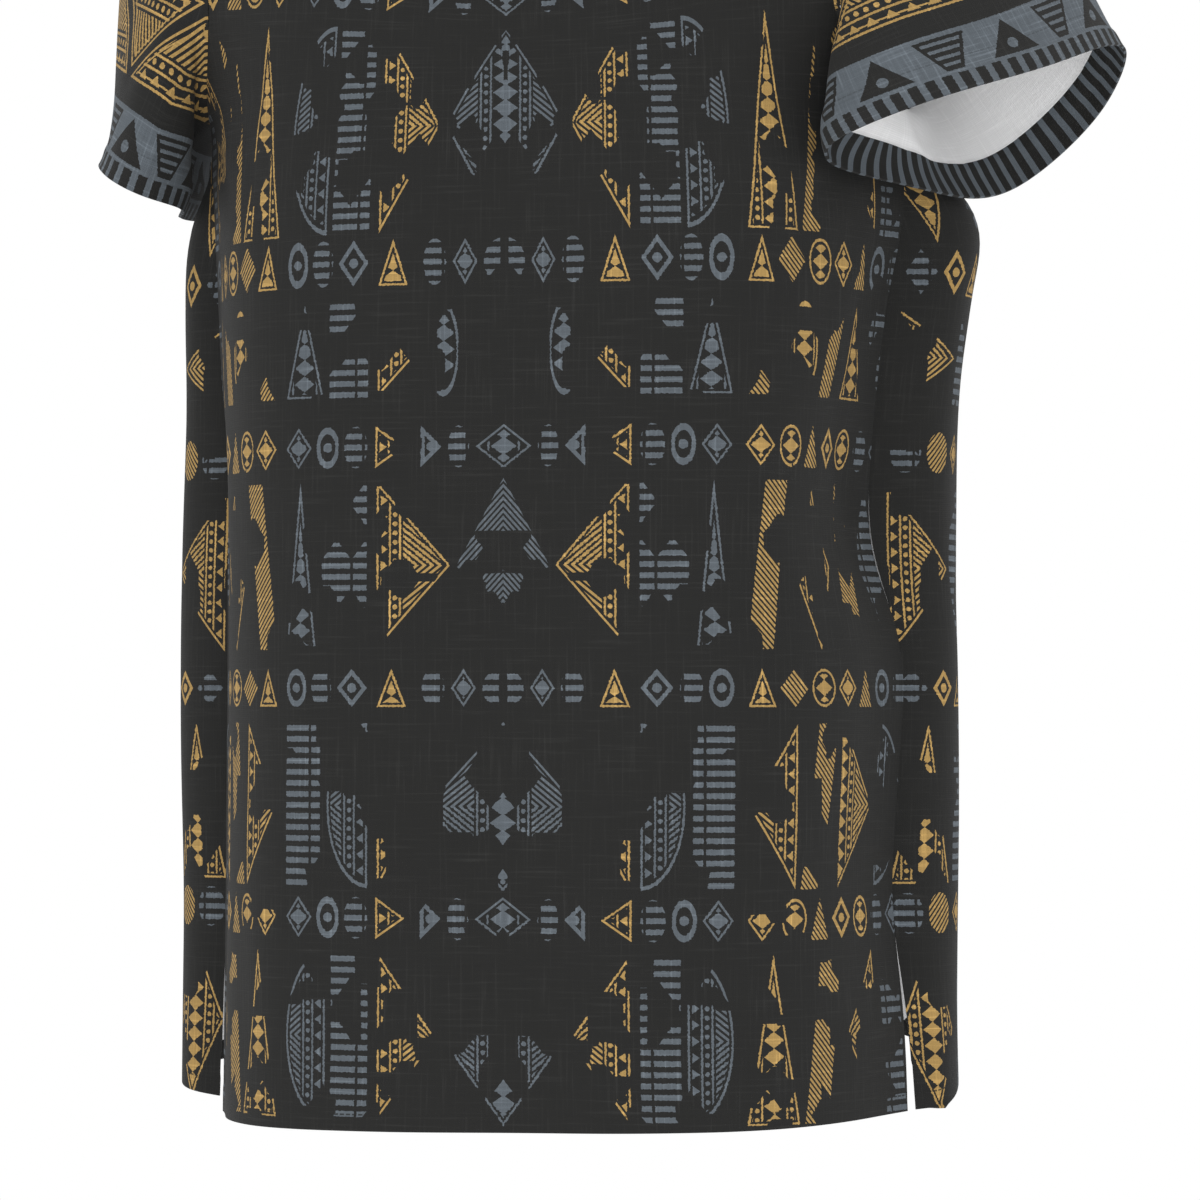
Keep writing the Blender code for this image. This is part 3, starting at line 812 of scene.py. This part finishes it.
# Motifs of each list, from the middle of the shirt to its side
# start, width, motif, filling, 1 for gold and 0 for slate
MOTIFS = {
    "low one": [
        (0.0000, 0.0160, OUTWARD, ORNATE, 0), (0.0180, 0.0130, ROUND, RUNGS, 0),
        (0.0330, 0.0130, SIDE, RINGED, 0), (0.0530, 0.0180, SIDE, ORNATE, 1),
        (0.0740, 0.0150, ROUND, RUNGS, 0), (0.0905, 0.0150, ROUND, RINGED, 0),
        (0.1070, 0.0180, LOZENGE, ORNATE, 0), (0.1310, 0.0190, LOZENGE, ORNATE, 1),
        (0.1515, 0.0180, ROUND, ORNATE, 1), (0.1710, 0.0150, PEAK, HATCHED, 1),
        (0.1880, 0.0190, LOZENGE, RINGED, 1), (0.2090, 0.0170, ROUND, ORNATE, 1),
        (0.2290, 0.0130, ROUND, RUNGS, 0), (0.2440, 0.0170, LOZENGE, ORNATE, 0),
        (0.2650, 0.0170, LOZENGE, ORNATE, 1), (0.2850, 0.0180, ROUND, HATCHED, 1),
        (0.3050, 0.0190, ROUND, RUNGS, 0),
    ],
    "low two": [
        (0.0000, 0.0120, HALF, RUNGS, 0), (0.0140, 0.0150, LOZENGE, ORNATE, 0),
        (0.0310, 0.0140, ROUND, RUNGS, 0), (0.0520, 0.0180, PEAK, ORNATE, 1),
        (0.0740, 0.0190, LOZENGE, RINGED, 0), (0.0945, 0.0140, ROUND, RUNGS, 0),
        (0.1100, 0.0150, ROUND, RINGED, 0), (0.1310, 0.0170, PEAK, ORNATE, 1),
        (0.1490, 0.0200, LOZENGE, HATCHED, 1), (0.1700, 0.0190, ROUND, ORNATE, 1),
        (0.1900, 0.0170, LOZENGE, ORNATE, 1), (0.2090, 0.0160, PEAK, HATCHED, 1),
        (0.2280, 0.0160, ROUND, RINGED, 0), (0.2460, 0.0150, ROUND, RUNGS, 0),
        (0.2640, 0.0190, PEAK, ORNATE, 1), (0.2850, 0.0180, LOZENGE, RINGED, 1),
        (0.3050, 0.0190, LOZENGE, RUNGS, 0),
    ],
    "tall one": [
        (0.0000, 0.0340, OUTWARD, ORNATE, 0), (0.0360, 0.0340, SIDE, ORNATE, 1),
        (0.0740, 0.0230, BLOCK, RUNGS, 0), (0.0990, 0.0260, HALF, ORNATE, 0),
        (0.1310, 0.0330, PEAK, ORNATE, 1), (0.1660, 0.0300, LEAN, HATCHED, 1),
        (0.1980, 0.0300, SIDE, ORNATE, 1), (0.2330, 0.0200, BLOCK, RUNGS, 0),
        (0.2560, 0.0260, PEAK, ORNATE, 0), (0.2850, 0.0400, LOZENGE, ORNATE, 1),
    ],
    "tall two": [
        (0.0000, 0.0420, OUTWARD, ORNATE, 0), (0.0440, 0.0260, SIDE, ORNATE, 1),
        (0.0740, 0.0250, HALF, ORNATE, 0), (0.1010, 0.0240, BLOCK, RUNGS, 0),
        (0.1310, 0.0300, SIDE, ORNATE, 1), (0.1630, 0.0280, LEAN, HATCHED, 1),
        (0.1930, 0.0360, OUTWARD, ORNATE, 1), (0.2330, 0.0240, HALF, ORNATE, 0),
        (0.2600, 0.0220, BLOCK, RUNGS, 0), (0.2850, 0.0400, PEAK, ORNATE, 1),
    ],
    "tall three": [
        (0.0000, 0.0260, OUTWARD, HATCHED, 0), (0.0280, 0.0420, SIDE, ORNATE, 1),
        (0.0740, 0.0280, HALF, RUNGS, 0), (0.1040, 0.0210, PEAK, ORNATE, 0),
        (0.1310, 0.0280, LEAN, HATCHED, 1), (0.1610, 0.0360, LOZENGE, ORNATE, 1),
        (0.1990, 0.0300, LEAN, HATCHED, 1), (0.2330, 0.0210, LOZENGE, RUNGS, 0),
        (0.2560, 0.0270, HALF, RUNGS, 0), (0.2850, 0.0400, SIDE, ORNATE, 1),
    ],
    "middle": [
        (0.0000, 0.0240, BARE, SOLID, 0), (0.0240, 0.0180, ROUND, ORNATE, 0),
        (0.0450, 0.0250, SIDE, ORNATE, 1), (0.0740, 0.0240, BLOCK, RUNGS, 0),
        (0.1000, 0.0250, PEAK, ORNATE, 0), (0.1310, 0.0240, LEAN, HATCHED, 1),
        (0.1570, 0.0220, ROUND, ORNATE, 1), (0.1810, 0.0220, LEAN, HATCHED, 1),
        (0.2050, 0.0250, PEAK, ORNATE, 1), (0.2330, 0.0230, ROUND, RUNGS, 0),
        (0.2580, 0.0250, BLOCK, RUNGS, 0), (0.2850, 0.0400, SIDE, ORNATE, 1),
    ],
}
LISTS = list(MOTIFS)
MOTIF_SPAN = 0.34


def fray(d, across, height):
    """Shift a place a little, so that the ink's edges come out ragged."""
    ragged = d.sub(d.noise(d.mul(across, RAGGED[0]), d.mul(height, RAGGED[0])), 0.5)
    return d.add(across, d.mul(ragged, RAGGED[1])), d.add(height, d.mul(ragged, RAGGED[2]))


def draw_print():
    """The printed bands of the body. Across is measured from the middle of the shirt."""
    d = Draft("banded print", ["Across", "Height"], ["Gold", "Slate"])
    across = d.size(d.given[0])
    height = d.sub(d.given[1], ROWS_FROM)
    across, height = fray(d, across, height)
    row_table = []
    for lower, tall, name in ROWS:
        start = lower - ROWS_FROM
        row_table.append((start - 0.004, start, tall, (LISTS.index(name) + 1) / 10.0, 1.0))
    bottom, tall, which, _ = d.look_up(height, ROWS_SPAN, [(0.0, 0.0, 0.01, 0.0, 0.0)] + row_table)
    which = d.mul(which, 10.0)
    parts = []
    for name, motifs in MOTIFS.items():
        rows = []
        for start, wide, shape, fill, gold in motifs:
            rows.append((start, start, wide, shape / 10.0, (fill + 5.0 * gold) / 10.0))
        parts.append(d.look_up(across, MOTIF_SPAN, rows))
    start, wide, shape, fill = (
        d.choose(which, [(i + 1.0, part[k]) for i, part in enumerate(parts)]) for k in range(4))
    shape = d.mul(shape, 10.0)
    fill = d.mul(fill, 10.0)
    gold = d.more(fill, 4.6)
    fill = d.sub(fill, d.mul(gold, 5.0))
    x = d.sub(d.sub(across, start), GAP / 2.0)
    y = d.sub(height, bottom)
    depth, strip, beside, up, rise = outline(d, shape, x, y, d.high(d.sub(wide, GAP), 0.002), tall)
    motif = filling(d, fill, depth, strip, beside, up, rise)
    low_row = d.less(which, 2.5)
    worn = d.patches(across, height, *PATCHES)
    kept = d.more(worn, d.sub(CUT_SHARE, d.mul(low_row, CUT_SHARE - LOW_CUT_SHARE)))
    motif = d.mul(motif, d.more(which, 0.5), kept)
    d.join(d.mul(motif, gold), d.result[0])
    d.join(d.mul(motif, d.inverse(gold)), d.result[1])
    return d.tree


# Border of the sleeve, in metres from the cuff
TICKS = (0.0105, 0.0098)  # height and spacing of the ticks at the edge
TICK_GAP = 0.58           # share of the spacing between them
BAND = 0.0390             # the slate band ends here
WEDGES = (0.0130, 0.0360) # wedges in the band, lower and upper end
WEDGE_PAIRS = 7.0         # pairs of wedges round the cuff
UP_WEDGE = 0.0160         # half width of an upright wedge at its foot
DOWN_WEDGE = (0.0050, 0.0100)     # half width of a hanging wedge at its foot, and its growth
SEED = (0.30, 0.0034)     # dot in an upright wedge: level and radius
STRIPES = (0.06, 0.0050, 0.42)    # in a hanging wedge: start, spacing and share
STRIPE_ENDS = (0.0022, 0.14, 0.92)    # bare rim, lowest and highest level
PEAKS = (0.0540, 0.1110)  # large triangles, lower and upper end
PEAK_GAP = 0.0034         # bare cloth along their slopes
CHEVRON = (0.0048, 0.0011, 0.004) # second line inside them: depth, width, end
PEAK_COUNT = 4.0          # pairs of large triangles round the cuff
COARSE = 0.7              # scale of the large triangles' fillings, beside the body's


def draw_border():
    """The printed border of a sleeve: Round is the whole way round the cuff."""
    d = Draft("sleeve border", ["Across", "Height", "Round"], ["Gold", "Slate"])
    across, height, whole = d.given[0], d.given[1], d.given[2]
    across, height = fray(d, across, height)
    ticks = d.mul(d.less(height, TICKS[0]), d.inverse(d.bars(across, TICKS[1], TICK_GAP)))
    band = d.mul(d.more(height, TICKS[0]), d.less(height, BAND))
    tall = WEDGES[1] - WEDGES[0]
    level = d.div(d.sub(height, WEDGES[0]), tall)
    within = d.mul(d.more(level, 0.0), d.less(level, 1.0))
    part = d.math("FRACT", d.div(d.mul(across, WEDGE_PAIRS), whole))
    pair = d.div(whole, WEDGE_PAIRS)
    off_up = d.mul(d.size(d.sub(part, 0.25)), pair)
    off_down = d.mul(d.size(d.sub(part, 0.75)), pair)
    up_edge = d.sub(d.mul(d.inverse(level), UP_WEDGE), off_up)
    down_edge = d.sub(d.add(DOWN_WEDGE[0], d.mul(level, DOWN_WEDGE[1])), off_down)
    up_wedge = d.mul(within, d.more(up_edge, 0.0))
    seed = d.mul(d.less(d.length(off_up, d.mul(d.sub(level, SEED[0]), tall)), SEED[1]), within)
    down_wedge = d.mul(within, d.more(down_edge, 0.0))
    stripes = d.bars(d.mul(d.add(level, STRIPES[0]), tall), *STRIPES[1:])
    stripes = d.mul(stripes, d.more(down_edge, STRIPE_ENDS[0]), d.more(level, STRIPE_ENDS[1]),
                    d.less(level, STRIPE_ENDS[2]))
    slate = d.mul(band, d.inverse(up_wedge), d.inverse(down_wedge))
    slate = d.high(ticks, slate, d.mul(up_wedge, seed), d.mul(down_wedge, stripes))
    rise = PEAKS[1] - PEAKS[0]
    y = d.sub(height, PEAKS[0])
    large = d.div(whole, PEAK_COUNT)
    zig = d.mul(d.wave(across, large), rise)
    slope = d.div(1.0, d.length(1.0, d.div(rise, d.mul(large, 0.5))))
    lower = d.low(d.sub(d.mul(d.sub(zig, y), slope), PEAK_GAP), y)
    upper = d.low(d.sub(d.mul(d.sub(y, zig), slope), PEAK_GAP), d.sub(rise, y))
    strip = d.low(y, d.sub(rise, y))
    turn = d.mul(across, COARSE)
    lower_fill = d.mul(d.more(lower, 0.0), ornament(d, d.mul(lower, COARSE), d.mul(y, COARSE), turn))
    upper_fill = d.mul(d.more(upper, 0.0),
                       ornament(d, d.mul(upper, COARSE), d.mul(d.sub(rise, y), COARSE), turn))
    chevron = d.mul(d.line(d.high(lower, upper), *CHEVRON[:2]), d.more(strip, CHEVRON[2]))
    d.join(d.high(lower_fill, upper_fill, chevron), d.result[0])
    d.join(slate, d.result[1])
    return d.tree


STITCH = (0.0036, 0.72, 0.00045)  # spacing, share and half width of the stitches
STITCH_INSET = 0.002              # from the hem's upper edge
BODY_THREAD = 0.8                 # how much of the thread's colour shows on the face
SLEEVE_THREAD = 0.25


def draw_stitches():
    """A row of short stitches: Along runs with the hem, Distance is measured from it."""
    d = Draft("stitches", ["Along", "Distance", "Row"], ["Stitch"])
    along, distance, row = d.given[0], d.given[1], d.given[2]
    bar = d.mul(d.bars(along, *STITCH[:2]), d.less(d.size(d.sub(distance, row)), STITCH[2]))
    d.join(bar, d.result[0])
    return d.tree


THREADS = (24.0, 640.0)   # unevenness of a thread along it and across it, to a metre
CLOUDS = 9.0              # the same of the cloth as a whole
GRID = 0.0011             # spacing of the weave
SLUB = (0.60, 2.6)        # a thread thicker than this shows as a slub, and how strongly


def draw_weave():
    """Plain weave of uneven threads: a shade, a height and a roughness for the printed
    face, and a shade for the pale side."""
    d = Draft("slub weave", ["Across", "Along"], ["Shade", "Relief", "Roughness", "Pale"])
    across, along = d.given[0], d.given[1]
    weft = d.noise(d.mul(across, THREADS[0]), d.mul(along, THREADS[1]), 2.0)
    warp = d.noise(d.mul(across, THREADS[1]), d.mul(along, THREADS[0]), 2.0)
    soft = d.noise(d.mul(across, CLOUDS), d.mul(along, CLOUDS), 2.0)
    grid = d.mul(d.wave(across, GRID), d.wave(along, GRID))
    slubs = d.add(*(d.mul(d.high(d.sub(run, SLUB[0]), 0.0), SLUB[1]) for run in (weft, warp)))
    threads = d.add(d.mul(weft, 0.5), d.mul(warp, 0.5))
    shade = d.add(0.60, d.mul(threads, 0.62), d.mul(slubs, 0.8), d.mul(soft, 0.06), d.mul(grid, 0.08))
    d.join(shade, d.result[0])
    d.join(d.add(threads, d.mul(grid, 0.5)), d.result[1])
    d.join(d.add(0.76, d.mul(threads, 0.26)), d.result[2])
    d.join(d.add(0.90, d.mul(threads, 0.14), d.mul(slubs, 0.10), d.mul(grid, 0.06)), d.result[3])
    return d.tree


FACE_SHEEN = 0.03
SHEEN_ROUGHNESS = 0.55
SHINE = 0.22
BUMP_STRENGTH = 0.6
FACE_RELIEF = 0.0004      # height of the threads on the face
WRONG_RELIEF = 0.0003     # and on the wrong side


class Finish:
    """A material with a Principled shader and helpers to feed it."""

    def __init__(self, name, sheen):
        self.material = bpy.data.materials.new(name)
        self.material.use_nodes = True
        self.tree = self.material.node_tree
        self.shader = self.tree.nodes["Principled BSDF"]
        self.shader.inputs["Specular IOR Level"].default_value = SHINE
        self.shader.inputs["Sheen Weight"].default_value = sheen
        self.shader.inputs["Sheen Roughness"].default_value = SHEEN_ROUGHNESS
        flat = self.add("ShaderNodeUVMap")
        flat.uv_map = "flat"
        place = self.add("ShaderNodeSeparateXYZ")
        self.link(flat.outputs[0], place.inputs[0])
        self.across, self.along = place.outputs[0], place.outputs[1]
        self.hem, self.seam = (self.kept(label) for label in ("hem_distance", "seam_distance"))

    def add(self, kind):
        return self.tree.nodes.new(kind)

    def link(self, a, b):
        self.tree.links.new(a, b)

    def kept(self, label):
        """A value that is kept on the cloth."""
        node = self.add("ShaderNodeAttribute")
        node.attribute_name = label
        return node.outputs["Fac"]

    def feed(self, values, sockets):
        for value, socket in zip(values, sockets):
            if isinstance(value, tuple):
                socket.default_value = (*value, 1.0)
            elif isinstance(value, (int, float)):
                socket.default_value = value
            else:
                self.link(value, socket)

    def group(self, tree, *values):
        node = self.add("ShaderNodeGroup")
        node.node_tree = tree
        self.feed(values, node.inputs)
        return node.outputs

    def math(self, operation, a, b):
        node = self.add("ShaderNodeMath")
        node.operation = operation
        self.feed((a, b), node.inputs)
        return node.outputs[0]

    def near(self, distance, width):
        """Where a distance kept on the cloth is less than a width."""
        return self.math("LESS_THAN", distance, width)

    def mix(self, factor, a, b, blend="MIX"):
        node = self.add("ShaderNodeMix")
        node.data_type = "RGBA"
        node.blend_type = blend
        self.feed((factor, a, b), (node.inputs[0], node.inputs[6], node.inputs[7]))
        return node.outputs[2]

    def paint(self, color, weave, depth, stitch=None, thread=0.0):
        """Colour, relief and roughness of the weave, with a row of stitches."""
        shade, relief, roughness = weave
        color = self.mix(1.0, color, shade, "MULTIPLY")
        if stitch is not None:
            color = self.mix(self.math("MULTIPLY", stitch, thread), color, THREAD)
            relief = self.math("ADD", relief, stitch)
        self.link(color, self.shader.inputs["Base Color"])
        self.link(roughness, self.shader.inputs["Roughness"])
        bump = self.add("ShaderNodeBump")
        bump.inputs["Strength"].default_value = BUMP_STRENGTH
        bump.inputs["Distance"].default_value = depth
        self.link(relief, bump.inputs["Height"])
        self.link(bump.outputs[0], self.shader.inputs["Normal"])


def printed_cloth(name, print_group, hem, thread, *values):
    """The face of the cloth: charcoal with gold and slate ink."""
    finish = Finish(name, FACE_SHEEN)
    weave = finish.group(weaving, finish.across, finish.along)[:3]
    gold, slate = finish.group(print_group, finish.across, finish.along, *values)[:2]
    color = finish.mix(slate, CHARCOAL, SLATE)
    color = finish.mix(gold, color, GOLD)
    stitch = finish.group(stitching, finish.across, finish.hem, hem - STITCH_INSET)[0]
    finish.paint(color, weave, FACE_RELIEF, stitch, thread)
    return finish.material


def wrong_side(name, hem, overlock, ticked):
    """The unprinted side, with the printed hem turned up over it."""
    finish = Finish(name, 0.0)
    made = finish.group(weaving, finish.across, finish.along)
    weave = (made[3], made[1], made[2])
    turned = CHARCOAL
    if ticked:
        slate = finish.group(ticks, finish.across)[0]
        turned = finish.mix(slate, CHARCOAL, SLATE)
    color = finish.mix(finish.near(finish.hem, hem), INSIDE, turned)
    color = finish.mix(finish.near(finish.seam, overlock), color, CHARCOAL)
    finish.paint(color, weave, WRONG_RELIEF)
    return finish.material


def draw_ticks():
    """The ticks of the sleeve's border, as they show on the turned-up hem."""
    d = Draft("hem ticks", ["Across"], ["Slate"])
    d.join(d.inverse(d.bars(d.given[0], TICKS[1], TICK_GAP)), d.result[0])
    return d.tree


def plain_cloth(name):
    """Charcoal cloth without a print, its threads a little darker and lighter."""
    finish = Finish(name, FACE_SHEEN)
    weave = finish.group(weaving, finish.across, finish.along)[:3]
    darker, lighter = (tuple(share * part for part in CHARCOAL) for share in (0.85, 1.2))
    color = finish.mix(weave[1], darker, lighter)
    finish.paint(color, weave, FACE_RELIEF)
    return finish.material


def plain(name, color, roughness):
    material = bpy.data.materials.new(name)
    material.use_nodes = True
    shader = material.node_tree.nodes["Principled BSDF"]
    shader.inputs["Base Color"].default_value = (*color, 1.0)
    shader.inputs["Roughness"].default_value = roughness
    return material


weaving = draw_weave()
printing = draw_print()
border = draw_border()
stitching = draw_stitches()
ticks = draw_ticks()
cloth = printed_cloth("printed cloth", printing, BODY_HEM, BODY_THREAD)
left_cloth = printed_cloth("left sleeve cloth", border, CUFF_HEM, SLEEVE_THREAD, LEFT_ROUND)
right_cloth = printed_cloth("right sleeve cloth", border, CUFF_HEM, SLEEVE_THREAD, RIGHT_ROUND)
body_inside = wrong_side("inside of the body", BODY_HEM, OVERLOCK, False)
sleeve_inside = wrong_side("inside of the sleeves", CUFF_HEM, SLEEVE_OVERLOCK, True)
band_cloth = plain_cloth("neckband cloth")

# Each piece: a point on its outer side, the way that it faces there, and for the body
# the sharpest bend in degrees and the height above which its open edges are seams
front = build_body("front", (0.0, -0.126, -0.5), (0, -1, 0), 70, -0.79,
                   FRONT_CREASES, [cloth, body_inside])
back = build_body("back", (0.0, 0.126, -0.5), (0, 1, 0), 52, -0.77,
                  BACK_CREASES, [cloth, body_inside])
left_sleeve = build_sleeve("left_sleeve", (0.30, -0.02, -0.15), (0.8, -0.3, 0.5),
                           LEFT_SLEEVE_CREASES, [left_cloth, sleeve_inside])
right_sleeve = build_sleeve("right_sleeve", (-0.262, 0.0, -0.2), (-1, -0.1, 0),
                            RIGHT_SLEEVE_CREASES, [right_cloth, sleeve_inside])
binding = build_neckband([band_cloth, band_cloth])


def build_room():
    bpy.ops.object.select_all(action="DESELECT")
    bpy.ops.mesh.primitive_circle_add(vertices=96, radius=FLOOR_RADIUS, fill_type="NGON",
                                      location=(0, 0, FLOOR))
    floor = bpy.context.object
    floor.name = "floor"
    floor.data.materials.append(plain("pale floor", FLOOR_SHADE, 0.8))
    world = bpy.data.worlds.new("studio")
    bpy.context.scene.world = world
    world.use_nodes = True
    world.node_tree.nodes["Background"].inputs["Color"].default_value = (1.0, 1.0, 1.0, 1.0)
    world.node_tree.nodes["Background"].inputs["Strength"].default_value = 1.0


def build_light():
    """A large soft light in front, a little below the sleeves."""
    soft = bpy.data.lights.new("front light", "AREA")
    soft.shape = "DISK"
    soft.size = LIGHT_SIZE
    soft.energy = LIGHT_POWER
    light = bpy.data.objects.new("front light", soft)
    bpy.context.scene.collection.objects.link(light)
    light.location = LIGHT_PLACE
    light.rotation_euler = (LIGHT_AIM - LIGHT_PLACE).to_track_quat("-Z", "Y").to_euler()


def build_camera():
    sight = bpy.data.cameras.new("camera")
    sight.lens = LENS
    sight.sensor_width = 36.0
    camera = bpy.data.objects.new("camera", sight)
    bpy.context.scene.collection.objects.link(camera)
    right = Vector((math.cos(VIEW_TURN), math.sin(VIEW_TURN), 0.0))
    back = Vector((math.sin(VIEW_TURN), -math.cos(VIEW_TURN), 0.0))
    camera.location = back * VIEW_DISTANCE + right * FRAME_SHIFT + Vector((0, 0, EYE_HEIGHT))
    camera.rotation_euler = (math.pi / 2.0 + VIEW_TILT, 0.0, VIEW_TURN)
    bpy.context.scene.camera = camera


build_room()
build_light()
build_camera()
bpy.context.scene.view_settings.view_transform = "Standard"
